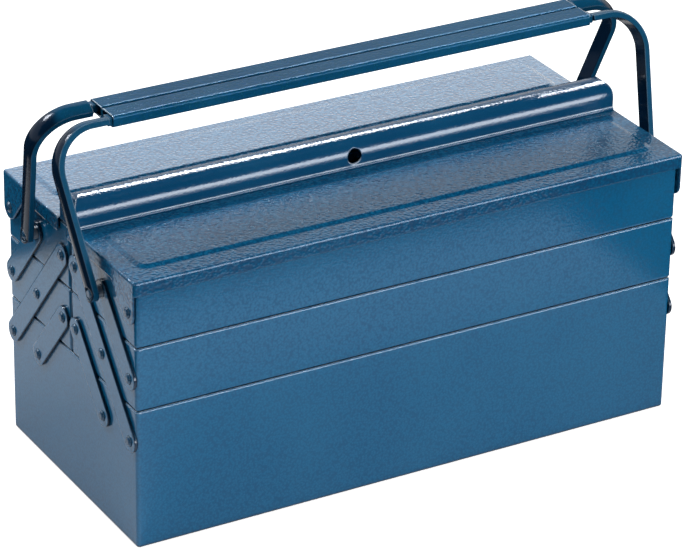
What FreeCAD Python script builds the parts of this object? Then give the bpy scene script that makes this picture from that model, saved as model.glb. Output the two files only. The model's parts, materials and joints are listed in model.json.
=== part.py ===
import FreeCAD, Part
import math
import os

# Cantilever tool box of painted sheet steel: a deep base tray, two middle trays and two lidded
# top trays, carried on flat link arms at both ends, with two bail handles.
# Frame: +Z up, +X to the right along the box, +Y to the rear. The origin is on the standing
# surface, under the centre of the box. The front half has negative Y.

# Trays, closed
tray_length = 425.0
tray_depth = 194.0
base_height = 104.0
storey = 47.0
stack_gap = 0.3
centre_gap = 1.0
sheet = 1.0
hem_height = 6.0
hem_bevel = 0.8
tray_corner = 2.5
floor_round = 2.0

# Lids, whose skirts hang round the top trays
lid_headroom = 2.0
skirt_front_gap = 2.0
skirt_end_gap = 1.5
skirt_height = 10.0
lid_corner = 2.0
lid_round = 1.5
ear_radius = 8.5
ear_shoulder = 34.0
lid_pivot_rise = 2.0
inner_flange_height = 7.0
inner_flange_end_gap = 1.0

# Raised field pressed into each lid
field_rise = 1.5
field_slope = 4.0
field_corner = 9.0
field_end_margin = 12.5
front_field_edge_margin = 16.0
front_field_ridge_margin = 13.0
rear_field_edge_margin = 10.0
rear_field_ridge_margin = 27.0

# Half-round ridge over the joint of the lids, with its padlock hole and tongue
ridge_half_width = 12.5
ridge_wall_height = 8.6
ridge_end_round = 8.0
ridge_end_gap = 1.5
ridge_rear_gap = 0.4
ridge_foot_height = 2.2
ridge_foot_reach = 1.2
ridge_foot_round = 1.0
lock_hole_radius = 5.5
lock_hole_height = 9.0
tongue_gap = 0.5
tongue_width = 28.0
tongue_hole_radius = 4.5
tongue_rim = 1.6
tongue_corner = 6.0

# Link arms and their pivots
inner_pivot_offset = 10.0
outer_pivot_margin = 7.0
pivot_drop = 24.0
arm_width = 16.0
arm_thickness = 2.0
layer_play = 0.1
pivot_play = 0.05
shank_radius = 2.5
tenon_radius = 1.9
head_radius = 4.0
head_height = 1.6
head_top_radius = 2.4
tail_radius = 3.6
tail_height = 1.0
shoulder_radius = 4.0

# Bail handles
bush_radius = 4.5
leg_gap = 6.0
leg_width = 12.4
leg_thickness = 5.4
leg_lip = 4.0
leg_flare_angle = 6.5
seat_depth = 1.8
seat_radius = 4.6
bend_radius = 25.0
grip_rise = 103.0
grips_gap = 0.5
grip_width = 17.0
grip_height = 8.4
grip_corner = 2.0
grip_wall = 1.2
grip_mouth_gap = 15.5
stub_width = 8.0
stub_length = 24.0
stub_shoulder = 3.0

# How far a cutting shape runs past what it cuts, and how close two places count as one
overrun = 5.0
nearly = 0.001

# Places worked out from the sizes above
end_face = tray_length / 2
front_face = -tray_depth / 2
middle_floor = base_height + stack_gap
middle_rim = base_height + storey
top_floor = middle_rim + stack_gap
top_rim = middle_rim + storey
lid_end = end_face + skirt_end_gap + sheet
lid_reach = tray_depth / 2 + skirt_front_gap + sheet
lid_under = top_rim + lid_headroom
lid_top = lid_under + sheet
skirt_foot = lid_top - skirt_height
rear_lid_edge = ridge_half_width + tongue_gap + sheet
ridge_end = lid_end - ridge_end_gap
ridge_axis = lid_top + ridge_wall_height
lock_hole_z = lid_top + lock_hole_height

outer_pivot_offset = tray_depth / 2 - outer_pivot_margin
middle_pivot_offset = (inner_pivot_offset + outer_pivot_offset) / 2
base_pivot_z = base_height - pivot_drop
middle_pivot_z = base_pivot_z + storey
top_pivot_z = middle_pivot_z + storey
lid_pivot_z = top_pivot_z + lid_pivot_rise

# Layers outward from the end panel
arm_inner_face = end_face + layer_play
arm_outer_face = arm_inner_face + arm_thickness
arm_head_face = arm_outer_face + layer_play
lid_shoulder_face = lid_end - sheet - layer_play
lid_head_face = lid_end + layer_play
leg_inner_face = end_face + leg_gap
leg_seat_face = leg_inner_face + leg_thickness - seat_depth
leg_head_face = leg_seat_face + layer_play
bush_face = leg_inner_face - layer_play

# The grips lie side by side over the centre plane, and each bar enters its grip's outer half
grip_offset = (grip_width + grips_gap) / 2
grip_z = top_pivot_z + grip_rise
bar_offset = grip_offset + grip_width / 2 - grip_wall - pivot_play - stub_width / 2

# The handle's own plane leans from its pivot to the bar's level run
handle_lean = math.atan2(middle_pivot_offset - bar_offset, grip_rise)
bar_reach = math.hypot(middle_pivot_offset - bar_offset, grip_rise)

# In that plane each leg flares outwards, so its bend turns through more than a right angle
flare = math.radians(leg_flare_angle)
leg_run = (bar_reach - leg_thickness / 2 - bend_radius * (1 + math.sin(flare))) / math.cos(flare)
bend_centre_x = leg_inner_face + leg_run * math.sin(flare) - bend_radius * math.cos(flare)
grip_half_length = bend_centre_x - grip_mouth_gap

X_AXIS = FreeCAD.Vector(1, 0, 0)
Y_AXIS = FreeCAD.Vector(0, 1, 0)
Z_AXIS = FreeCAD.Vector(0, 0, 1)
ORIGIN = FreeCAD.Vector(0, 0, 0)
SIDES = (-1, 1)


def point(x, y, z):
    return FreeCAD.Vector(x, y, z)


def block(x_low, x_high, y_low, y_high, z_low, z_high):
    size = point(x_high - x_low, y_high - y_low, z_high - z_low)
    return Part.makeBox(size.x, size.y, size.z, point(x_low, y_low, z_low))


def bar_along_x(radius, x_low, x_high, y, z):
    return Part.makeCylinder(radius, x_high - x_low, point(x_low, y, z), X_AXIS)


def closed_face(edges):
    return Part.Face(Part.Wire(edges))


def line(start, end):
    return Part.LineSegment(start, end).toShape()


def arc(start, middle, end):
    return Part.Arc(start, middle, end).toShape()


def edges_at_height(shape, z):
    """The edges that lie wholly at one height."""
    found = []
    for edge in shape.Edges:
        box = edge.BoundBox
        if abs(box.ZMin - z) < nearly and abs(box.ZMax - z) < nearly:
            found.append(edge)
    return found


def upright_edges(shape):
    found = []
    for edge in shape.Edges:
        box = edge.BoundBox
        if box.XLength < nearly and box.YLength < nearly:
            found.append(edge)
    return found


def rounded_block(x_low, x_high, y_low, y_high, z_low, z_high, corner):
    body = block(x_low, x_high, y_low, y_high, z_low, z_high)
    return body.makeFillet(corner, upright_edges(body))


# Trays: folded sheet, open at the top, with the rim turned in to a double hem

def tray(y_low, y_high, z_low, z_high, pivots):
    shell = rounded_block(-end_face, end_face, y_low, y_high, z_low, z_high, tray_corner)
    shell = shell.makeFillet(floor_round, edges_at_height(shell, z_low))
    hem = 2 * sheet
    hollow = rounded_block(-end_face + sheet, end_face - sheet, y_low + sheet, y_high - sheet,
                           z_low + sheet, z_high - hem_height, tray_corner - sheet)
    mouth = rounded_block(-end_face + hem, end_face - hem, y_low + hem, y_high - hem,
                          z_low + sheet, z_high + overrun, tray_corner - sheet)
    shell = shell.cut(hollow).cut(mouth)
    shell = shell.makeChamfer(hem_bevel, edges_at_height(shell, z_high))
    for y, z in pivots:
        hole = bar_along_x(tenon_radius + pivot_play, -end_face - overrun, end_face + overrun, y, z)
        shell = shell.cut(hole)
    return shell


def half_tray(side, z_low, z_high, pivots):
    """A tray of one half of the box: side is -1 for the front and 1 for the rear."""
    near = side * centre_gap / 2
    far = side * tray_depth / 2
    return tray(min(near, far), max(near, far), z_low, z_high, pivots)


def base_pivots():
    places = []
    for side in SIDES:
        places.append((side * middle_pivot_offset, base_pivot_z))
        places.append((side * outer_pivot_offset, base_pivot_z))
    return places


def middle_pivots(side):
    offsets = (inner_pivot_offset, middle_pivot_offset, outer_pivot_offset)
    return [(side * offset, middle_pivot_z) for offset in offsets]


def long_arm_top(side):
    return (side * inner_pivot_offset, top_pivot_z)


def handle_pivot(side):
    return (side * middle_pivot_offset, top_pivot_z)


def lid_pivot(side):
    return (side * outer_pivot_offset, lid_pivot_z)


def top_pivots(side):
    return [long_arm_top(side), handle_pivot(side), lid_pivot(side)]


# Link arms: flat strips with round ends, one hole at every pivot

def link_arm(end, pivots):
    """A strip at one end of the box, through the given (y, z) pivots from the lowest up."""
    first = point(0, pivots[0][0], pivots[0][1])
    last = point(0, pivots[-1][0], pivots[-1][1])
    along = (last - first).normalize()
    across = along.cross(X_AXIS)
    half = arm_width / 2
    top_left = last + across * half
    top_right = last - across * half
    foot_left = first + across * half
    foot_right = first - across * half
    outline = closed_face([
        line(foot_left, top_left),
        arc(top_left, last + along * half, top_right),
        line(top_right, foot_right),
        arc(foot_right, first - along * half, foot_left),
    ])
    outline.translate(X_AXIS * (end * arm_inner_face))
    strip = outline.extrude(X_AXIS * (end * arm_thickness))
    low = min(end * arm_inner_face, end * arm_outer_face) - overrun
    high = max(end * arm_inner_face, end * arm_outer_face) + overrun
    for y, z in pivots:
        strip = strip.cut(bar_along_x(shank_radius + pivot_play, low, high, y, z))
    return strip


def long_arm(end, side):
    return link_arm(end, [
        (side * outer_pivot_offset, base_pivot_z),
        (side * middle_pivot_offset, middle_pivot_z),
        (side * inner_pivot_offset, top_pivot_z),
    ])


def lower_arm(end, side):
    return link_arm(end, [
        (side * middle_pivot_offset, base_pivot_z),
        (side * inner_pivot_offset, middle_pivot_z),
    ])


def upper_arm(end, side):
    return link_arm(end, [
        (side * outer_pivot_offset, middle_pivot_z),
        (side * middle_pivot_offset, top_pivot_z),
    ])


# Rivets and bushes, turned about an axis along X

def turned(end, profile, y, z):
    """A round piece from (distance along X, radius) points, at one end of the box."""
    corners = [point(end * distance, radius, 0) for distance, radius in profile]
    edges = []
    for index in range(len(corners)):
        edges.append(line(corners[index - 1], corners[index]))
    solid = closed_face(edges).revolve(ORIGIN, X_AXIS, 360)
    solid.translate(point(0, y, z))
    return solid


def rivet(end, shoulder, head_face, y, z):
    """A stepped rivet from its tail inside the end panel to its head outside the moving piece.

    A thin tenon goes through the panel. The shoulder is a list of points of the thicker shank,
    which starts on the panel's face and keeps the riveting from pinching the moving piece.
    """
    panel_inside = end_face - sheet
    tail = [
        (panel_inside - tail_height, 0),
        (panel_inside - tail_height, tail_radius),
        (panel_inside, tail_radius),
        (panel_inside, tenon_radius),
        (end_face, tenon_radius),
    ]
    head = [
        (head_face, shank_radius),
        (head_face, head_radius),
        (head_face + head_height, head_top_radius),
        (head_face + head_height, 0),
    ]
    return turned(end, tail + shoulder + head, y, z)


def at_both_ends(make, places):
    """A group of one separate solid for each end and each (y, z) place."""
    solids = []
    for end in SIDES:
        for y, z in places:
            solids.append(make(end, y, z))
    return Part.makeCompound(solids)


def arm_rivets(places):
    shoulder = [(end_face, shank_radius)]
    return at_both_ends(lambda end, y, z: rivet(end, shoulder, arm_head_face, y, z), places)


def lid_rivets(places):
    shoulder = [
        (end_face, shoulder_radius),
        (lid_shoulder_face, shoulder_radius),
        (lid_shoulder_face, shank_radius),
    ]
    return at_both_ends(lambda end, y, z: rivet(end, shoulder, lid_head_face, y, z), places)


def handle_rivets(places):
    shoulder = [(end_face, shank_radius)]
    return at_both_ends(lambda end, y, z: rivet(end, shoulder, leg_head_face, y, z), places)


def bush(end, y, z):
    """A spacing tube on a handle rivet, between the arm's eye and the handle's."""
    bore = shank_radius + pivot_play
    return turned(end, [
        (arm_head_face, bore),
        (arm_head_face, bush_radius),
        (bush_face, bush_radius),
        (bush_face, bore),
    ], y, z)


def handle_bushes(places):
    return at_both_ends(bush, places)


# Lids: a shallow pan open towards the centre, with an ear at each end that drops to its rivet

def rounded_rectangle(x_low, x_high, y_low, y_high, z, corner):
    flat = Part.makePlane(x_high - x_low, y_high - y_low, point(x_low, y_low, z))
    prism = flat.extrude(Z_AXIS * corner)
    prism = prism.makeFillet(corner, upright_edges(prism))
    for wire in prism.Wires:
        if abs(wire.BoundBox.ZMax - z) < nearly:
            return wire


def field(y_low, y_high, z_foot):
    """The raised field of a lid: a low flat-topped form with sloping sides."""
    x_far = lid_end - field_end_margin
    foot = rounded_rectangle(-x_far, x_far, y_low, y_high, z_foot, field_corner)
    crown = rounded_rectangle(-x_far + field_slope, x_far - field_slope, y_low + field_slope,
                              y_high - field_slope, z_foot + field_rise, field_corner - field_slope)
    return Part.makeLoft([foot, crown], True, True)


def lid_ear(end, side):
    """The lug at one end of a lid: a straight outer edge, round at the rivet, sloping inwards."""
    centre_y, centre_z = lid_pivot(side)
    shoulder_y = side * (lid_reach - ear_shoulder)
    run = abs(shoulder_y - centre_y)
    rise = skirt_foot - centre_z
    towards = math.atan2(rise, run)
    tangent = towards - math.acos(ear_radius / math.hypot(run, rise))
    middle = (tangent - math.pi) / 2
    inward = -side

    def on_round(angle):
        return point(0, centre_y + inward * ear_radius * math.cos(angle),
                     centre_z + ear_radius * math.sin(angle))

    outer_edge = centre_y - inward * ear_radius
    plate = closed_face([
        line(point(0, shoulder_y, skirt_foot + sheet), point(0, shoulder_y, skirt_foot)),
        line(point(0, shoulder_y, skirt_foot), on_round(tangent)),
        arc(on_round(tangent), on_round(middle), on_round(-math.pi)),
        line(on_round(-math.pi), point(0, outer_edge, skirt_foot + sheet)),
        line(point(0, outer_edge, skirt_foot + sheet), point(0, shoulder_y, skirt_foot + sheet)),
    ])
    plate.translate(X_AXIS * (end * (lid_end - sheet)))
    lug = plate.extrude(X_AXIS * (end * sheet))
    low = min(end * lid_end, end * end_face) - overrun
    high = max(end * lid_end, end * end_face) + overrun
    return lug.cut(bar_along_x(shank_radius + pivot_play, low, high, centre_y, centre_z))


def lid_pan(side, inner_edge, edge_margin, ridge_margin):
    """One lid, whose plate and end flanges run from its skirt to inner_edge."""
    far = side * lid_reach
    near_plate = side * inner_edge
    y_low = min(far, near_plate)
    y_high = max(far, near_plate)
    pan = block(-lid_end, lid_end, y_low, y_high, skirt_foot, lid_top)
    outer_corners = [edge for edge in upright_edges(pan) if abs(edge.BoundBox.YMin - far) < nearly]
    pan = pan.makeFillet(lid_corner, outer_corners)
    top_edges = []
    for edge in edges_at_height(pan, lid_top):
        if abs(edge.CenterOfMass.y - near_plate) > nearly:
            top_edges.append(edge)
    pan = pan.makeFillet(lid_round, top_edges)
    wall = far - side * sheet
    beyond = near_plate - side * overrun
    pan = pan.cut(block(-lid_end + sheet, lid_end - sheet, min(wall, beyond), max(wall, beyond),
                        skirt_foot - overrun, lid_under))
    pan = pan.fuse([lid_ear(end, side) for end in SIDES])
    field_far = far - side * edge_margin
    field_near = near_plate + side * ridge_margin
    field_low = min(field_far, field_near)
    field_high = max(field_far, field_near)
    pan = pan.fuse(field(field_low, field_high, lid_top))
    return pan.cut(field(field_low, field_high, lid_under)).removeSplitter()


def front_lid():
    """The front lid, whose end flanges run on under the ridge."""
    pan = lid_pan(-1, ridge_half_width, front_field_edge_margin, front_field_ridge_margin)
    flanges = []
    for end in SIDES:
        inside = end * (lid_end - sheet)
        outside = end * lid_end
        flanges.append(block(min(inside, outside), max(inside, outside), -ridge_half_width,
                             -centre_gap / 2, skirt_foot, lid_under))
    return pan.fuse(flanges).removeSplitter()


def rear_lid():
    """The rear lid, whose inner edge is turned down inside its tray."""
    pan = lid_pan(1, rear_lid_edge, rear_field_edge_margin, rear_field_ridge_margin)
    x_far = end_face - 2 * sheet - inner_flange_end_gap
    flange = block(-x_far, x_far, rear_lid_edge, rear_lid_edge + sheet,
                   lid_top - inner_flange_height, lid_under)
    return pan.fuse(flange).removeSplitter()


# Ridge: a half-round cap on straight walls, closed and rounded at both ends

def ridge_form(inset):
    """The ridge's outer form, or the form of its hollow when inset by the sheet."""
    half_width = ridge_half_width - inset
    foot = lid_under - inset
    x_far = ridge_end - inset
    section = closed_face([
        line(point(-x_far, -half_width, foot), point(-x_far, -half_width, ridge_axis)),
        arc(point(-x_far, -half_width, ridge_axis), point(-x_far, 0, ridge_axis + half_width),
            point(-x_far, half_width, ridge_axis)),
        line(point(-x_far, half_width, ridge_axis), point(-x_far, half_width, foot)),
        line(point(-x_far, half_width, foot), point(-x_far, -half_width, foot)),
    ])
    run = section.extrude(X_AXIS * (2 * x_far))
    mask = block(-x_far, x_far, -half_width, half_width, foot, ridge_axis + half_width)
    crown_ends = []
    for edge in edges_at_height(mask, ridge_axis + half_width):
        if edge.BoundBox.XLength < nearly:
            crown_ends.append(edge)
    return run.common(mask.makeFillet(ridge_end_round - inset, crown_ends))


def ridge_foot():
    """The bead along the front of the ridge, where its sheet turns out onto the lid."""
    y_far = -ridge_half_width - ridge_foot_reach
    crown = lid_top + ridge_foot_height
    bead = block(-ridge_end, ridge_end, y_far, -ridge_half_width, lid_top, crown)
    upper_front = []
    for edge in edges_at_height(bead, crown):
        if edge.BoundBox.YMax - y_far < nearly:
            upper_front.append(edge)
    return bead.makeFillet(ridge_foot_round, upper_front)


def centre_ridge():
    shell = ridge_form(0).cut(ridge_form(sheet))
    rear_foot = block(-lid_end, lid_end, 0, ridge_half_width + overrun,
                      lid_under - overrun, lid_under + ridge_rear_gap)
    hole = Part.makeCylinder(lock_hole_radius, 2 * (ridge_half_width + overrun),
                             point(0, -ridge_half_width - overrun, lock_hole_z), Y_AXIS)
    return shell.cut(rear_foot).cut(hole).fuse(ridge_foot()).removeSplitter()


def lock_tongue():
    """The tab behind the ridge that the padlock's shackle also passes through."""
    foot = lid_top - inner_flange_height
    crown = lock_hole_z + tongue_hole_radius + tongue_rim
    half = tongue_width / 2
    y_near = rear_lid_edge - sheet
    tab = block(-half, half, y_near, rear_lid_edge, foot, crown)
    upper = []
    for edge in edges_at_height(tab, crown):
        if edge.BoundBox.YLength > nearly:
            upper.append(edge)
    tab = tab.makeFillet(tongue_corner, upper)
    hole = Part.makeCylinder(tongue_hole_radius, sheet + 2 * overrun,
                             point(0, y_near - overrun, lock_hole_z), Y_AXIS)
    return tab.cut(hole)


# Handles, made upright about the pivot and then leaned over into their own plane

def place_in_handle_plane(shape):
    """Leans an upright piece of the front handle back to the centre plane."""
    shape.rotate(ORIGIN, X_AXIS, -math.degrees(handle_lean))
    shape.translate(point(0, -middle_pivot_offset, top_pivot_z))
    return shape


def on_side(shape, side):
    """The rear handle is the front one's mirror image."""
    if side > 0:
        return shape.mirror(ORIGIN, Y_AXIS)
    return shape


def leg_section(z):
    """The half-round section of a leg: flat towards the box, crowned outside."""
    half = leg_width / 2
    lip = leg_inner_face + leg_lip
    return closed_face([
        line(point(leg_inner_face, -half, z), point(leg_inner_face, half, z)),
        line(point(leg_inner_face, half, z), point(lip, half, z)),
        arc(point(lip, half, z), point(leg_inner_face + leg_thickness, 0, z), point(lip, -half, z)),
        line(point(lip, -half, z), point(leg_inner_face, -half, z)),
    ])


def flat_rod(width, height, corner, x_low, x_high, y, z):
    """A flat bar along X with round corners, about the line through y and z."""
    rod = block(x_low, x_high, y - width / 2, y + width / 2, z - height / 2, z + height / 2)
    long_edges = [edge for edge in rod.Edges if edge.BoundBox.XLength > nearly]
    return rod.makeFillet(corner, long_edges)


def flared_bar(run_end):
    """The straight leg, its wide bend and the level run, at the right-hand end."""
    turn = 90 + leg_flare_angle
    bend_centre = point(leg_inner_face - bend_radius, 0, leg_run)
    straight = leg_section(0).extrude(Z_AXIS * leg_run)
    bend = leg_section(leg_run).revolve(bend_centre, Y_AXIS, -turn)
    level_face = leg_section(leg_run)
    level_face.rotate(bend_centre, Y_AXIS, -turn)
    inwards = point(-math.cos(flare), 0, -math.sin(flare))
    level_run = level_face.extrude(inwards * (bend_centre_x - run_end))
    bar = straight.fuse([bend, level_run])
    bar.rotate(point(leg_inner_face, 0, 0), Y_AXIS, leg_flare_angle)
    return bar


def handle_leg(end, side):
    """One side of a bail: round eye, flared leg, wide bend and a stub inside the grip tube."""
    half = leg_width / 2
    low = leg_inner_face - overrun
    high = leg_inner_face + leg_thickness + overrun
    run_end = grip_half_length + stub_shoulder
    eye = leg_section(-half).extrude(Z_AXIS * leg_width)
    eye = eye.common(bar_along_x(half, low, high, 0, 0))
    leg = eye.fuse(flared_bar(run_end))
    leg = leg.cut(bar_along_x(shank_radius + pivot_play, low, high, 0, 0))
    leg = leg.cut(bar_along_x(seat_radius, leg_seat_face, high, 0, 0))
    leg = place_in_handle_plane(leg)
    stub = flat_rod(stub_width, grip_height - 2 * (grip_wall + pivot_play), grip_corner - grip_wall,
                    grip_half_length - stub_length, run_end, -bar_offset, grip_z)
    leg = leg.fuse(stub).removeSplitter()
    if end < 0:
        leg = leg.mirror(ORIGIN, X_AXIS)
    return on_side(leg, side)


def handle_grip(side):
    """A flat sheet tube, open at both ends."""
    tube = flat_rod(grip_width, grip_height, grip_corner, -grip_half_length, grip_half_length,
                    -grip_offset, grip_z)
    bore = flat_rod(grip_width - 2 * grip_wall, grip_height - 2 * grip_wall, grip_corner - grip_wall,
                    -grip_half_length - overrun, grip_half_length + overrun, -grip_offset, grip_z)
    return on_side(tube.cut(bore), side)


# The whole box, node by node

def build_nodes():
    nodes = {
        "base_tray": tray(front_face, -front_face, 0, base_height, base_pivots()),
        "base_rivets": arm_rivets(base_pivots()),
        "front_lid": front_lid(),
        "rear_lid": rear_lid(),
        "centre_ridge": centre_ridge(),
        "lock_tongue": lock_tongue(),
    }
    for half, side in (("front", -1), ("rear", 1)):
        nodes[half + "_middle_tray"] = half_tray(side, middle_floor, middle_rim, middle_pivots(side))
        nodes[half + "_middle_rivets"] = arm_rivets(middle_pivots(side))
        nodes[half + "_top_tray"] = half_tray(side, top_floor, top_rim, top_pivots(side))
        nodes[half + "_top_rivets"] = arm_rivets([long_arm_top(side)])
        nodes[half + "_lid_rivets"] = lid_rivets([lid_pivot(side)])
        nodes[half + "_handle_rivets"] = handle_rivets([handle_pivot(side)])
        nodes[half + "_handle_bushes"] = handle_bushes([handle_pivot(side)])
        nodes[half + "_grip"] = handle_grip(side)
        for end_name, end in (("left", -1), ("right", 1)):
            nodes[half + "_" + end_name + "_long_arm"] = long_arm(end, side)
            nodes[half + "_" + end_name + "_lower_arm"] = lower_arm(end, side)
            nodes[half + "_" + end_name + "_upper_arm"] = upper_arm(end, side)
            nodes[half + "_" + end_name + "_handle_leg"] = handle_leg(end, side)
    return nodes


os.makedirs("parts", exist_ok=True)
for name, shape in build_nodes().items():
    shape.exportStep(os.path.join("parts", name + ".step"))
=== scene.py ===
# %% [markdown]
# # A cantilever tool box in blue hammertone enamel
#
# The box is folded from steel sheet and stove-enamelled in one colour. Its shape
# comes from the packed CAD model, so this lesson is about the finish, the studio
# and the camera. Every length is in metres, in the frame of the CAD model.

# %% Load the CAD model
import json
import math

import bpy
from mathutils import Matrix, Vector

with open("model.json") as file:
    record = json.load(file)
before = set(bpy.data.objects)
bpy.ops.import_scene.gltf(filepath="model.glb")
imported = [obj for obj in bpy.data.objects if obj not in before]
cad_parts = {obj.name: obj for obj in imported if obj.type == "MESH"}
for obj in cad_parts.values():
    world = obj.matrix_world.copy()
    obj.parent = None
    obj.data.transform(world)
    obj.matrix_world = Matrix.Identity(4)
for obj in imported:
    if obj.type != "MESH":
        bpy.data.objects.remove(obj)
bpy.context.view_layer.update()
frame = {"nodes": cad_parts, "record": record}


nodes = frame["nodes"]

# %% [markdown]
# ## Where the camera stands
#
# The picture is a long-lens product shot: the box's parallel edges hardly draw
# together. A camera could be placed by eye, but its place was worked out from the
# box's corners instead. It is given as a direction, a height angle, a small roll and
# a distance from a point on the box's middle line, which is how a photographer
# would note a set-up.

# %% Find the camera's axes
AIM = Vector((0.0, 0.0, 0.113))
CAMERA_TURN = math.radians(-30.165)
CAMERA_HEIGHT = math.radians(26.665)
CAMERA_ROLL = math.radians(0.998)
CAMERA_DISTANCE = 2.6149


def direction(turn, height):
    """The unit vector from the box towards a place at that turn and height angle."""
    level = math.cos(height)
    return Vector((math.sin(turn) * level, -math.cos(turn) * level, math.sin(height)))


back = direction(CAMERA_TURN, CAMERA_HEIGHT)
right = (-back).cross(Vector((0, 0, 1))).normalized()
up = right.cross(-back)
rolled_right = math.cos(CAMERA_ROLL) * right + math.sin(CAMERA_ROLL) * up
rolled_up = math.cos(CAMERA_ROLL) * up - math.sin(CAMERA_ROLL) * right
print("the camera looks along", [round(value, 3) for value in -back])

# %% [markdown]
# ## The lens
#
# A lens of almost 200 mm before a 36 mm wide sensor gives the flat perspective. The
# Standard view transform shows each colour as it is written, so a finish can be
# compared with its numbers.

# %% Place the camera
lens = bpy.data.cameras.new("product_lens")
lens.sensor_width = 36.0
lens.lens = 194.52
lens.clip_start = 0.1
lens.clip_end = 60.0
camera = bpy.data.objects.new("product_camera", lens)
posture = Matrix((rolled_right, rolled_up, back)).transposed().to_4x4()
camera.matrix_world = Matrix.Translation(AIM + back * CAMERA_DISTANCE) @ posture
bpy.context.scene.collection.objects.link(camera)
bpy.context.scene.camera = camera
bpy.context.scene.view_settings.view_transform = "Standard"
print("camera at", [round(value, 3) for value in camera.matrix_world.translation])

# %% [markdown]
# ## Writing shader maths as sums
#
# A procedural finish is mostly arithmetic on masks. Wiring each Math node by hand
# hides the idea, so a small class wraps one output socket: adding or multiplying
# two of them makes the Math node. Reflected forms are there too, so that `1 - mask`
# works.

# %% A socket that understands arithmetic
class Signal:
    """One output of a shader node. Sums and products on it make Math nodes."""

    def __init__(self, finish, socket):
        self.finish = finish
        self.socket = socket

    def math(self, operation, *others, clamp=False):
        """A Math node whose first value is this signal."""
        settings = {"operation": operation, "use_clamp": clamp}
        return self.finish.node("ShaderNodeMath", settings, dict(enumerate([self, *others])))

    def __add__(self, other):
        return self.math("ADD", other)

    __radd__ = __add__

    def __mul__(self, other):
        return self.math("MULTIPLY", other)

    __rmul__ = __mul__

    def __sub__(self, other):
        return self.math("SUBTRACT", other)

    def __rsub__(self, other):
        return self.finish.node("ShaderNodeMath", {"operation": "SUBTRACT"}, {0: other, 1: self})

    def clamped(self):
        """The signal, kept between 0 and 1."""
        return self.math("ADD", 0.0, clamp=True)

    def step(self, low, high):
        """0 below low, 1 above high, with a soft rise between them."""
        return self.finish.node(
            "ShaderNodeMapRange", {"interpolation_type": "SMOOTHSTEP", "clamp": True},
            {"Value": self, "From Min": low, "From Max": high})


print("a Signal understands", [name for name in vars(Signal) if callable(getattr(Signal, name))])

# %% [markdown]
# ## A finish under construction
#
# A finish owns one material. Its `node` method makes any node: the settings come
# first, because some of them change which sockets the node has, and then the
# sockets get their values or links. A Mix node keeps a socket for every kind of
# value, so the ones for colours have names here.

# %% The finish class
MIX_FACTOR, MIX_FIRST, MIX_SECOND, MIX_RESULT = 0, 6, 7, 2


class Finish:
    """A material and the nodes that make it."""

    def __init__(self, name):
        self.material = bpy.data.materials.new(name)
        self.material.use_nodes = True
        self.tree = self.material.node_tree
        self.tree.nodes.clear()

    def node(self, kind, settings=None, sockets=None, output=0):
        """Any node, and the output that is asked for, if the node has outputs."""
        made = self.tree.nodes.new(kind)
        for key, value in (settings or {}).items():
            setattr(made, key, value)
        for key, value in (sockets or {}).items():
            if isinstance(value, Signal):
                self.tree.links.new(value.socket, made.inputs[key])
            else:
                made.inputs[key].default_value = value
        return Signal(self, made.outputs[output]) if made.outputs else None

    def place(self):
        """Where a point lies on the piece, in the piece's own frame."""
        return self.node("ShaderNodeTexCoord", output="Object")

    def facing(self, axis):
        """How far the surface faces along an axis of the piece, either way: 0 to 1."""
        normal = self.node("ShaderNodeTexCoord", output="Normal")
        along = self.node("ShaderNodeSeparateXYZ", None, {"Vector": normal}, axis)
        return along.math("ABSOLUTE")

    def noise(self, size, detail, roughness=0.5, place=None, output=0):
        """Soft random values about as large as size."""
        return self.node("ShaderNodeTexNoise", None, {
            "Vector": place or self.place(), "Scale": 1.0 / size,
            "Detail": detail, "Roughness": roughness}, output)

    def vector(self, operation, sockets, output=0):
        """A sum, product or scaling of vectors. A Math node would make one number of it."""
        return self.node("ShaderNodeVectorMath", {"operation": operation}, sockets, output)

    def blend(self, factor, first, second):
        """A colour between two colours."""
        return self.node("ShaderNodeMix", {"data_type": "RGBA"}, {
            MIX_FACTOR: factor, MIX_FIRST: first, MIX_SECOND: second}, MIX_RESULT)

    def surface(self, shader):
        """The finished material, with this shader on its surface."""
        self.node("ShaderNodeOutputMaterial", None, {"Surface": shader})
        return self.material


print("a Finish can", [name for name in vars(Finish) if not name.startswith("_")])

# %% [markdown]
# ## The blues of the box
#
# One enamel covers the box, but it shows many blues: deep where it lies thick, pale
# where it is thin, darker on the lids' skirts and the ridge as painted shade, almost
# black on narrow edges and in gaps as painted shade, and pale along the rims, where wear
# and a painted highlight meet. They could be stops of one colour ramp. Separate names are
# easier to follow, because each blue has its own cause. They are linear red, green and
# blue, with an alpha of 1.

# %% Name the blues
DEEP_BLUE = (0.003, 0.094, 0.210, 1.0)
POOLED_BLUE = (0.001, 0.052, 0.130, 1.0)
THIN_BLUE = (0.016, 0.150, 0.285, 1.0)
# Painted shade on the lids' upright skirts.
SKIRT_SHADE_BLUE = (0.001, 0.030, 0.085, 1.0)
# A darker blue that paints in the shade along the ridge.
RIDGE_SHADE_BLUE = (0.002, 0.045, 0.115, 1.0)
GRIP_BLUE = (0.002, 0.046, 0.096, 1.0)
LEG_BLUE = (0.002, 0.042, 0.090, 1.0)
RIVET_BLUE = (0.004, 0.040, 0.090, 1.0)
# Painted shade: near black on narrow edges, gaps and the legs' backs.
PAINTED_SHADE_BLACK = (0.001, 0.008, 0.024, 1.0)
# A pale edge line, part wear and part painted highlight.
WORN_HIGHLIT_EDGE = (0.300, 0.440, 0.570, 1.0)
# A painted highlight along the rims.
PAINTED_HIGHLIGHT_EDGE = (0.620, 0.740, 0.860, 1.0)
print("the enamel is", DEEP_BLUE[:3], "and thins to", THIN_BLUE[:3])

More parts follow.
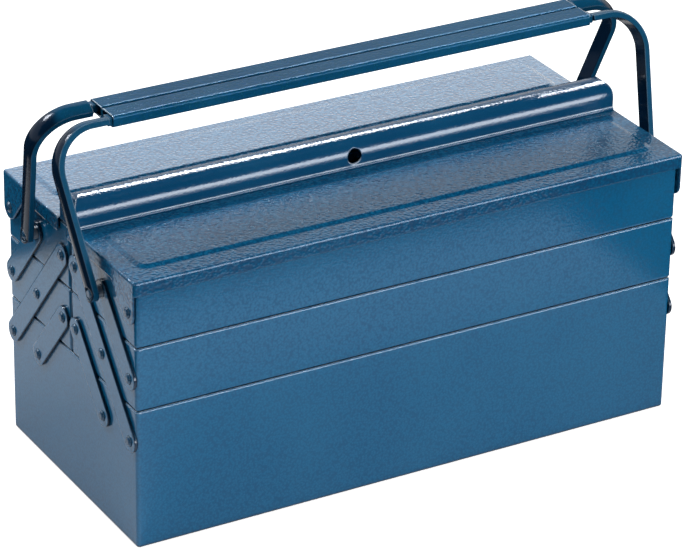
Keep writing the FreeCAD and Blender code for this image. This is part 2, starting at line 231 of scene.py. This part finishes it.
# %% [markdown]
# ## Hammered cells
#
# The lids and trays look like beaten metal seen very small: the enamel draws up into
# shallow cells a millimetre or two across while it bakes. Modelling such cells would
# take millions of faces. A texture of rounded cells, each pushed aside by a coarser
# noise, gives the same broken highlights for nothing, and stays sharp from any
# distance. Its value grows from the middle of a cell outwards, so one minus that
# value makes domes, and its high values are the troughs where enamel pools.

# %% Make the cells
DRIFT_SIZE, DRIFT_REACH = 2.5, 0.9      # in cells
CELL_ROUNDING = 0.6
DOME_SLOPE = 1.3


def hammered_cells(finish, place, cell):
    """The domes of the cells, and a mask of the troughs between them."""
    drift = finish.noise(cell * DRIFT_SIZE, 1.0, place=place, output="Color")
    push = finish.vector("SCALE", {0: drift, "Scale": cell * DRIFT_REACH})
    drifted = finish.vector("ADD", {0: place, 1: push})
    from_middle = finish.node("ShaderNodeTexVoronoi", {"feature": "SMOOTH_F1"}, {
        "Vector": drifted, "Scale": 1.0 / cell, "Smoothness": CELL_ROUNDING})
    return 1 - from_middle * DOME_SLOPE, from_middle.step(0.30, 0.75)


print("cells drift by", DRIFT_REACH, "of their size")

# %% [markdown]
# ## The beaten relief
#
# Each cell is a dome, wandering noise makes the domes unequal, and a wider noise adds
# the orange peel of sprayed paint. On upright faces the wet enamel ran smooth, so the
# relief there is less than half as deep as on level ones.

# %% Raise the domes
WANDER_SIZE, PEEL_SIZE = 1.7, 9.0       # in cells
DOME_SHARE, WANDER_SHARE, PEEL_SHARE = 0.6, 0.55, 0.5
UPRIGHT_RELIEF = 0.45


def beaten_relief(finish, place, cell, domes):
    """The height of the enamel, for a Bump node."""
    wander = finish.noise(cell * WANDER_SIZE, 1.0, place=place)
    peel = finish.noise(cell * PEEL_SIZE, 2.0, place=place)
    height = domes * DOME_SHARE + wander * WANDER_SHARE + peel * PEEL_SHARE
    level = finish.facing("Z").step(0.40, 0.90)
    return height * (level * (1 - UPRIGHT_RELIEF) + UPRIGHT_RELIEF)


print("upright faces keep", UPRIGHT_RELIEF, "of the relief")

# %% [markdown]
# ## Colour that follows the cells
#
# Enamel gathers in the troughs between the cells and looks darker there, and it thins
# on their tops. Wide, faint clouds come from uneven spraying. A speckle painted on by
# hand would not match the relief. Built from the same cells, it always does.

# %% Tint the cells
POOLED_SHARE, THINNED_SHARE, CLOUD_SHARE = 1.8, 0.75, 0.16


def cell_tint(finish, colour, domes, pooled, clouds, speckle):
    """The colour in the troughs, on the domes' tops and in the clouds."""
    tinted = finish.blend(pooled * (speckle * POOLED_SHARE), colour, POOLED_BLUE)
    tops = domes.step(0.55, 0.95)
    tinted = finish.blend(tops * (speckle * THINNED_SHARE), tinted, THIN_BLUE)
    return finish.blend(clouds.step(0.35, 0.75) * CLOUD_SHARE, tinted, THIN_BLUE)


print("clouds lighten the blue by", CLOUD_SHARE, "at most")

# %% [markdown]
# ## Faces with painted shade
#
# The upright skirts of the lids are painted a darker blue as shade. The narrow edges of
# the arms and the rounded backs of the handles' legs are painted nearly black, as shade.
# A mask could be painted by hand. These faces all look along one of the box's axes, so
# that tells them apart, on every piece alike.

# %% Tell the faces apart
# Painted shade: the lids' skirts are painted darker here.
def shaded_skirts(finish):
    """Faces that look forward or back."""
    return finish.facing("Y").step(0.60, 0.90)


# Painted shade: the arms' narrow edges are painted nearly black.
def shaded_strip_edges(finish):
    """Every face of a strip but the two broad ones, which look left and right."""
    return 1 - finish.facing("X").step(0.60, 0.90)


# Painted shade: the legs' rounded backs are painted nearly black.
def shaded_round_backs(finish):
    """The parts of a rounded bar that look left or right."""
    return finish.facing("X").step(0.30, 0.55)


print("faces told apart:", [faces.__name__ for faces in (shaded_skirts, shaded_strip_edges, shaded_round_backs)])

# %% [markdown]
# ## Worn, highlit edges and shaded gaps
#
# Wet enamel draws back from a folded edge, and hands and tools rub it thinner; a painted
# highlight is laid on the rims as well, so their pale line is part wear and part painted
# light. The Bevel node bends the normal near an edge; where it leaves the flat normal,
# the edge is found. Only edges that look upward are lightened, where the highlight falls
# and the lower ones are hidden from hands. Gaps are found with the Ambient Occlusion node
# and painted dark as shade. Both measure the shape itself, so the marks follow every rim.

# %% Find the edges and gaps
EDGE_RADIUS = 0.0014
EDGE_PATCH_SIZE = 0.012
GAP_REACH = 0.010
PROBES = 6


def softened_normal(finish):
    """The normal as if every edge had a small round."""
    return finish.node("ShaderNodeBevel", {"samples": PROBES}, {"Radius": EDGE_RADIUS})


# The pale edge line is part wear and part painted highlight.
def worn_and_highlit_edges(finish, place, soft_normal):
    """1 along the upward edges, in patches, and 0 elsewhere."""
    flat_normal = finish.node("ShaderNodeNewGeometry", output="Normal")
    bent = 1 - finish.vector("DOT_PRODUCT", {0: soft_normal, 1: flat_normal}, "Value")
    rise = finish.node("ShaderNodeSeparateXYZ", None, {"Vector": soft_normal}, "Z")
    patches = finish.noise(EDGE_PATCH_SIZE, 3.0, place=place)
    return bent.step(0.01, 0.12) * rise.step(0.15, 0.50) * patches.step(0.15, 0.50)


# Painted shade: gaps and corners are darkened where shade falls.
def painted_gap_shade(finish):
    """1 deep in gaps and corners, and 0 in the open."""
    open_sky = finish.node(
        "ShaderNodeAmbientOcclusion", {"samples": PROBES}, {"Distance": GAP_REACH}, "AO")
    return (1 - open_sky).step(0.25, 0.70)


print("edges are worn within", EDGE_RADIUS, "m and gaps filled within", GAP_REACH, "m")

# %% [markdown]
# ## The enamel
#
# The enamel brings these together: colour and gloss follow the cells, and the bump
# starts from the softened normal, so that folded edges catch a thin highlight as bent
# sheet does. A little Metallic stands for the flakes in the paint. Worn parts differ
# from fresh ones by numbers alone, so one function serves the whole box.

# %% Mix the enamel
ENAMEL_ROUGHNESS = 0.11
POOLED_DULLING = 0.10
CLOUD_DULLING = 0.08
EDGE_POLISH = 0.05
CELL_DEPTH = 0.16                       # in cells
CLOUD_SIZE = 0.11
NOISE_MIDDLE = 0.5


def enamel(name, colour=DEEP_BLUE, cell=0.0016, beat=0.5, flake=0.12, speckle=0.3, shaded_faces=None,
           wear_and_highlight=0.4, edge_colour=WORN_HIGHLIT_EDGE, gap_shade=0.0, ior=1.5):
    """Baked enamel: cell is the size of the hammered cells, beat how deep they look.

    speckle is how much the colour follows the cells. The shaded faces, with the darker
    colour there and its share, get painted shade. The wear and highlight share is how
    much the upward edges show edge_colour, a pale line that is part wear and part
    painted highlight. The gap shade is how much painted shade darkens gaps and corners,
    where no lamp reaches. A low ior gives the dull gloss of paint that hands have rubbed.
    """
    finish = Finish(name)
    place = finish.place()
    domes, pooled = hammered_cells(finish, place, cell)
    clouds = finish.noise(CLOUD_SIZE, 3.0, 0.55, place=place)
    soft_normal = softened_normal(finish)
    edges = worn_and_highlit_edges(finish, place, soft_normal)

    tinted = cell_tint(finish, colour, domes, pooled, clouds, speckle)
    # Painted shade on the chosen faces.
    if shaded_faces:
        faces, shade_colour, share = shaded_faces
        tinted = finish.blend(faces(finish) * share, tinted, shade_colour)
    # A pale line on upward edges: part wear, part painted highlight.
    tinted = finish.blend(edges * wear_and_highlight, tinted, edge_colour)
    # Painted shade in gaps and corners.
    if gap_shade:
        tinted = finish.blend(painted_gap_shade(finish) * gap_shade, tinted, PAINTED_SHADE_BLACK)

    dulling = pooled * POOLED_DULLING + (clouds - NOISE_MIDDLE) * CLOUD_DULLING
    rough = (ENAMEL_ROUGHNESS + dulling - edges * EDGE_POLISH).clamped()
    bumped = finish.node("ShaderNodeBump", None, {
        "Strength": beat, "Distance": cell * CELL_DEPTH, "Normal": soft_normal,
        "Height": beaten_relief(finish, place, cell, domes)})
    return finish.surface(finish.node("ShaderNodeBsdfPrincipled", None, {
        "Base Color": tinted, "Metallic": flake, "Roughness": rough, "Normal": bumped,
        "IOR": ior}))


# The trays' rims get a painted highlight, and their gaps painted shade.
tray_enamel = enamel("tray_enamel", beat=0.35, wear_and_highlight=1.0, edge_colour=PAINTED_HIGHLIGHT_EDGE, gap_shade=0.95)
print("mixed", tray_enamel.name, "with", len(tray_enamel.node_tree.nodes), "nodes")

# %% [markdown]
# ## Lids, ridge and tab
#
# The lids lay flat in the oven and took the coarsest hammering; their skirts get painted
# shade and their rims a painted highlight. The ridge was bent from a strip of its own and
# carries a smoother coat, painted a darker blue for the shade along its walls, with a
# painted highlight on its rims and almost no flakes to cloud its two long streaks. The
# tab behind it is fresh paint that nobody touches.
# Three sets of numbers are enough to tell them apart.

# %% Coat the top of the box
lid_enamel = enamel(
    "lid_enamel", cell=0.0021, beat=0.9, speckle=0.7, shaded_faces=(shaded_skirts, SKIRT_SHADE_BLUE, 0.40),
    wear_and_highlight=1.0, edge_colour=PAINTED_HIGHLIGHT_EDGE)
ridge_enamel = enamel(
    "ridge_enamel", colour=RIDGE_SHADE_BLUE, cell=0.0018, beat=0.55, flake=0.04,
    wear_and_highlight=1.0, edge_colour=PAINTED_HIGHLIGHT_EDGE)
tongue_enamel = enamel("tongue_enamel", beat=0.35)
print("coated with", [coat.name for coat in (lid_enamel, ridge_enamel, tongue_enamel)])

# %% [markdown]
# ## Arms, handles and rivets
#
# What moves and what is held looks used. The arms' narrow edges and the gaps round them
# are painted black as shade, the handles' legs are painted nearly black at their rounded
# backs as shade, and the grips have lost their gloss to many hands, with wear and a
# painted highlight along their corners and painted shade in their gaps. The same function
# makes them, because wear is the same enamel, only thinner or rubbed dull, and painted
# shade and highlight are numbers of it as well.

# %% Coat the arms, handles and rivets
arm_enamel = enamel(
    "arm_enamel", beat=0.2, shaded_faces=(shaded_strip_edges, PAINTED_SHADE_BLACK, 0.9), wear_and_highlight=0.3, gap_shade=0.9)
leg_enamel = enamel(
    "leg_enamel", colour=LEG_BLUE, cell=0.0018, beat=0.25,
    shaded_faces=(shaded_round_backs, PAINTED_SHADE_BLACK, 0.95), wear_and_highlight=0.6, gap_shade=0.9, ior=1.25)
grip_enamel = enamel(
    "grip_enamel", colour=GRIP_BLUE, cell=0.0018, beat=0.8, speckle=0.6,
    wear_and_highlight=1.0, edge_colour=PAINTED_HIGHLIGHT_EDGE, gap_shade=1.0, ior=1.15)
rivet_enamel = enamel("rivet_enamel", colour=RIVET_BLUE, beat=0.3)
print("coated with", [coat.name for coat in (arm_enamel, leg_enamel, grip_enamel, rivet_enamel)])

# %% [markdown]
# ## Plated spacers
#
# The bushes under the handle's eyes are turned from steel and zinc plated, then caught
# by some of the blue spray. A metal shader with fine turning marks round the axis is
# enough for so small a piece. The marks are a noise squeezed along that axis.

# %% The zinc plate
ZINC_GREY = (0.30, 0.32, 0.35, 1.0)
OVERSPRAY_BLUE = (0.05, 0.11, 0.19, 1.0)
ZINC_ROUGHNESS = 0.32
ALONG_AXIS = (6.0, 1.0, 1.0)
MARK_SIZE, MARK_DEPTH = 0.0012, 0.0002
MARK_STRENGTH, MARK_ROUGHNESS = 0.25, 0.15
HAZE_SIZE, HAZE_SHARE, HAZE_DULLING = 0.004, 0.5, 0.6


def zinc_plate(name):
    """Turned and plated steel under a haze of blue overspray."""
    finish = Finish(name)
    place = finish.place()
    squeezed = finish.vector("MULTIPLY", {0: place, 1: ALONG_AXIS})
    marks = finish.noise(MARK_SIZE, 3.0, place=squeezed)
    haze = finish.noise(HAZE_SIZE, 2.0, place=place).step(0.35, 0.70)
    bumped = finish.node("ShaderNodeBump", None, {
        "Strength": MARK_STRENGTH, "Distance": MARK_DEPTH, "Height": marks})
    return finish.surface(finish.node("ShaderNodeBsdfPrincipled", None, {
        "Base Color": finish.blend(haze * HAZE_SHARE, ZINC_GREY, OVERSPRAY_BLUE),
        "Metallic": 1 - haze * HAZE_DULLING,
        "Roughness": ZINC_ROUGHNESS + marks * MARK_ROUGHNESS, "Normal": bumped}))


bush_zinc = zinc_plate("bush_zinc")
print("plated", bush_zinc.name)

# %% [markdown]
# ## Giving each piece its finish
#
# The record names a finish for each node. The node keeps its mesh and only its
# material slot changes, so the box stays exactly as it was drawn.

# %% Dress the nodes
finish_of = {
    "tray_paint": tray_enamel, "lid_paint": lid_enamel, "ridge_paint": ridge_enamel,
    "tongue_paint": tongue_enamel, "arm_paint": arm_enamel, "leg_paint": leg_enamel,
    "grip_paint": grip_enamel, "rivet_paint": rivet_enamel, "bush_zinc": bush_zinc,
}
for subpart in frame["record"]["subparts"]:
    piece = nodes[subpart["node"]]
    piece.data.materials.clear()
    piece.data.materials.append(finish_of[subpart["material_slot"]])
print("dressed", len(nodes), "nodes in", len(finish_of), "finishes")

# %% [markdown]
# ## White that is seen, not lit
#
# Product pictures have a white surround. More lamp light would whiten it, but would
# wash out the blue as well. So the paper and the room carry some white of their own,
# which only the camera and reflections see. The Light Path node picks out their rays.

# %% Tell the rays that see the surround
WHITE = (1.0, 1.0, 1.0, 1.0)


def looked_at(finish, mirrored_share):
    """1 for the camera's rays, and mirrored_share for mirrored and refracted ones."""
    seen = finish.node("ShaderNodeLightPath", output="Is Camera Ray")
    mirrored = finish.node("ShaderNodeLightPath", output="Is Glossy Ray")
    through = finish.node("ShaderNodeLightPath", output="Is Transmission Ray")
    return (seen + (mirrored + through) * mirrored_share).clamped()


def either_shader(finish, factor, first, second):
    """The first shader where the factor is 0, the second where it is 1."""
    return finish.node("ShaderNodeMixShader", None, {0: factor, 1: first, 2: second})


print("white is", WHITE[:3])

# %% [markdown]
# ## Sheets of the studio
#
# The paper and the cloths are flat rectangles, or a rectangle with a window. Planes
# from the Add menu would do, but corners written as numbers show where each sheet
# ends.

# %% Cut a sheet
def rectangle(left, right, front, back, height):
    """The corners of a level rectangle, round from the front left."""
    return [(left, front, height), (right, front, height), (right, back, height),
            (left, back, height)]


def studio_sheet(name, corners, faces, material):
    """A flat piece of the studio."""
    mesh = bpy.data.meshes.new(name)
    mesh.from_pydata(corners, [], faces)
    mesh.materials.append(material)
    sheet = bpy.data.objects.new(name, mesh)
    bpy.context.scene.collection.objects.link(sheet)
    return sheet


ONE_FACE = [(0, 1, 2, 3)]
print("a sheet has", len(rectangle(0, 1, 0, 1, 0)), "corners")

# %% [markdown]
# ## The studio floor
#
# The box stands on white paper that runs to the horizon. A real sweep would curve up
# behind it. A flat sheet under a white room looks the same from every side. It lies a
# hair under the box, so that the two never share a plane, and its own white leaves
# room for the lamps' light, so the box's soft shadow stays.

# %% Lay the paper
PAPER_WHITE = (0.80, 0.80, 0.80, 1.0)
FIBRE_GREY = (0.74, 0.75, 0.76, 1.0)
FIBRE_SIZE, FIBRE_SHARE = 0.0015, 0.05
PAPER_GLOW = 0.70
MIRRORED_SHARE = 0.25
PAPER_REACH = 9.0
PAPER_DROP = 0.0004


def paper(name):
    """Matt white paper with a glow of its own for the rays that see it."""
    finish = Finish(name)
    fibres = finish.noise(FIBRE_SIZE, 3.0)
    colour = finish.blend(fibres * FIBRE_SHARE, PAPER_WHITE, FIBRE_GREY)
    sheet = finish.node("ShaderNodeBsdfDiffuse", None, {"Color": colour, "Roughness": 0.6})
    glow = finish.node("ShaderNodeEmission", None, {"Color": WHITE, "Strength": PAPER_GLOW})
    no_glow = finish.node("ShaderNodeEmission", None, {"Strength": 0.0})
    own_light = either_shader(finish, looked_at(finish, MIRRORED_SHARE), no_glow, glow)
    return finish.surface(finish.node("ShaderNodeAddShader", None, {0: sheet, 1: own_light}))


studio_paper = studio_sheet(
    "studio_paper", rectangle(-PAPER_REACH, PAPER_REACH, -PAPER_REACH, PAPER_REACH, 0.0),
    ONE_FACE, paper("studio_paper"))
studio_paper.location.z = -PAPER_DROP
print("laid", studio_paper.name, 2 * PAPER_REACH, "m wide")

# %% [markdown]
# ## The room's light
#
# The room is pure white where it is seen or mirrored, so the enamel's gloss shows a
# white studio. As a lamp it is dimmer, which leaves the soft boxes to shape the metal.

# %% Light the room
class Room(Finish):
    """A world built with the same node method."""

    def __init__(self, name):
        self.world = bpy.data.worlds.new(name)
        self.world.use_nodes = True
        self.tree = self.world.node_tree
        self.tree.nodes.clear()

    def surround(self, shader):
        self.node("ShaderNodeOutputWorld", None, {"Surface": shader})
        return self.world


SEEN_WHITE = 1.0
ROOM_LAMP = 0.13
room = Room("white_room")
lamp_light = room.node("ShaderNodeBackground", None, {"Color": WHITE, "Strength": ROOM_LAMP})
seen_white = room.node("ShaderNodeBackground", None, {"Color": WHITE, "Strength": SEEN_WHITE})
bpy.context.scene.world = room.surround(
    either_shader(room, looked_at(room, 1.0), lamp_light, seen_white))
print("room lit at", ROOM_LAMP, "and seen at", SEEN_WHITE)

# %% [markdown]
# ## Soft boxes
#
# Gloss shows where the lamps are, so each one has a job. The shadows of the handles'
# legs fall forward and down over the left end: the main lamp stands behind the box, high
# on the left. A wide box above lifts the lids and another in front lifts the long
# side. Both are kept out of the gloss, where they would add streaks of their own.

# %% Hang the soft boxes
def soft_box(name, turn, height, distance, width, tall, radiance, aim=AIM):
    """A rectangular lamp that looks at the box; radiance 1 is as bright as white paper."""
    lamp = bpy.data.lights.new(name, "AREA")
    lamp.shape = "RECTANGLE"
    lamp.size = width
    lamp.size_y = tall
    lamp.energy = radiance * math.pi * width * tall
    holder = bpy.data.objects.new(name, lamp)
    towards = direction(math.radians(turn), math.radians(height))
    holder.location = aim + towards * distance
    holder.rotation_euler = towards.to_track_quat("Z", "Y").to_euler()
    bpy.context.scene.collection.objects.link(holder)
    return holder


main_box = soft_box(
    "main_soft_box", turn=-142, height=44, distance=1.9, width=0.45, tall=0.45, radiance=48.0)
top_fill = soft_box(
    "top_fill_box", turn=40, height=70, distance=1.9, width=1.0, tall=1.0, radiance=5.5)
front_fill = soft_box(
    "front_fill_box", turn=8, height=14, distance=2.4, width=1.6, tall=1.2, radiance=7.0)
for fill in (top_fill, front_fill):
    fill.visible_glossy = False
print("hung", [box.name for box in (main_box, top_fill, front_fill)])

# %% [markdown]
# ## Lamps for the streaks alone
#
# The streak along the ridge's back comes from a box high behind on the right, and the
# broad one on its front from a low strip in front. They would flood the paper if they
# lit it, so they add no soft light, and each is tied to the pieces that show it. A
# studio does the same with a strip box close to the set and a black card beside it.

# %% Add the streaks
LID_TOP = Vector((0.0, 0.0, 0.205))


def show_in_gloss(box, names):
    """Let a lamp be seen in the gloss of the pieces named, and light nothing else."""
    box.visible_diffuse = False
    mirrors = bpy.data.collections.new("lit_by_" + box.name)
    for name in names:
        mirrors.objects.link(nodes[name])
    box.light_linking.receiver_collection = mirrors


def all_but(*endings):
    """The names of all nodes but those with these endings."""
    return [name for name in nodes if not name.endswith(endings)]


rear_box = soft_box(
    "rear_soft_box", turn=129, height=54, distance=1.3, width=1.3, tall=0.24, radiance=46.0,
    aim=LID_TOP)
show_in_gloss(rear_box, all_but("_lid", "_leg", "_tongue", "_arm"))
front_strip = soft_box(
    "front_strip_box", turn=27, height=1.5, distance=1.9, width=1.6, tall=0.80, radiance=11.0,
    aim=LID_TOP)
show_in_gloss(front_strip, all_but("_leg"))
print("hung", rear_box.name, "and", front_strip.name)

# %% [markdown]
# ## A lamp for the rear lid
#
# The rear lid mirrors a bright low lamp that the front lid doesn't, because the two
# lids of such a box never lie quite in one plane. The CAD lids do, so the lamp is
# tied to the rear lid alone. Light linking is the usual way to say that.

# %% Light the rear lid
lid_strip = soft_box(
    "lid_strip_box", turn=149.8, height=29, distance=1.6, width=2.6, tall=1.6, radiance=1.75,
    aim=LID_TOP)
show_in_gloss(lid_strip, ["rear_lid"])
print("hung", lid_strip.name)

# %% [markdown]
# ## Black flags
#
# Metal photographed in a white tent looks like plastic. Product photographers hang
# black cloth where the gloss should stay deep. A darker enamel would look deep too,
# but its colour would change on every face, also where no gloss shows. So there is
# cloth here as well, with a faint weave in its black.

# %% Weave the cloth
CLOTH_BLACK = (0.006, 0.006, 0.007, 1.0)
CLOTH_SHEEN = (0.012, 0.012, 0.014, 1.0)
WEAVE_SIZE, WEAVE_SHARE = 0.004, 0.5


def black_cloth(name):
    """Matt black cloth with a faint weave."""
    finish = Finish(name)
    weave = finish.noise(WEAVE_SIZE, 2.0)
    colour = finish.blend(weave * WEAVE_SHARE, CLOTH_BLACK, CLOTH_SHEEN)
    return finish.surface(finish.node("ShaderNodeBsdfDiffuse", None, {"Color": colour}))


cloth = black_cloth("black_cloth")
print("wove", cloth.name)

# %% [markdown]
# ## Where the flags hang
#
# One cloth lies on the paper, with a window round the box that leaves the near paper
# white, and one hangs overhead. The flags are seen by reflections alone, so they
# neither shade the box nor show in a picture.

# %% Hang the flags
CLOTH_REACH = 5.0
CLOTH_HEIGHT = 0.0003
WINDOW = {"left": -0.43, "right": 0.32, "front": -0.42, "back": 0.34}
ROUND_WINDOW = [(0, 1, 5, 4), (1, 2, 6, 5), (2, 3, 7, 6), (3, 0, 4, 7)]
CEILING = 1.35
CEILING_BACK = 0.75


def flag(name, corners, faces):
    """A sheet of black cloth that only reflections see."""
    sheet = studio_sheet(name, corners, faces, cloth)
    sheet.visible_camera = False
    sheet.visible_diffuse = False
    sheet.visible_shadow = False
    sheet.visible_transmission = False
    return sheet


window = rectangle(**WINDOW, height=CLOTH_HEIGHT)
border = rectangle(-CLOTH_REACH, CLOTH_REACH, -CLOTH_REACH, CLOTH_REACH, CLOTH_HEIGHT)
table_cloth = flag("table_cloth", window + border, ROUND_WINDOW)
overhead_cloth = flag(
    "overhead_cloth",
    rectangle(-CLOTH_REACH, CLOTH_REACH, -CLOTH_REACH, CEILING_BACK, CEILING), ONE_FACE)
print("hung", table_cloth.name, "and", overhead_cloth.name)
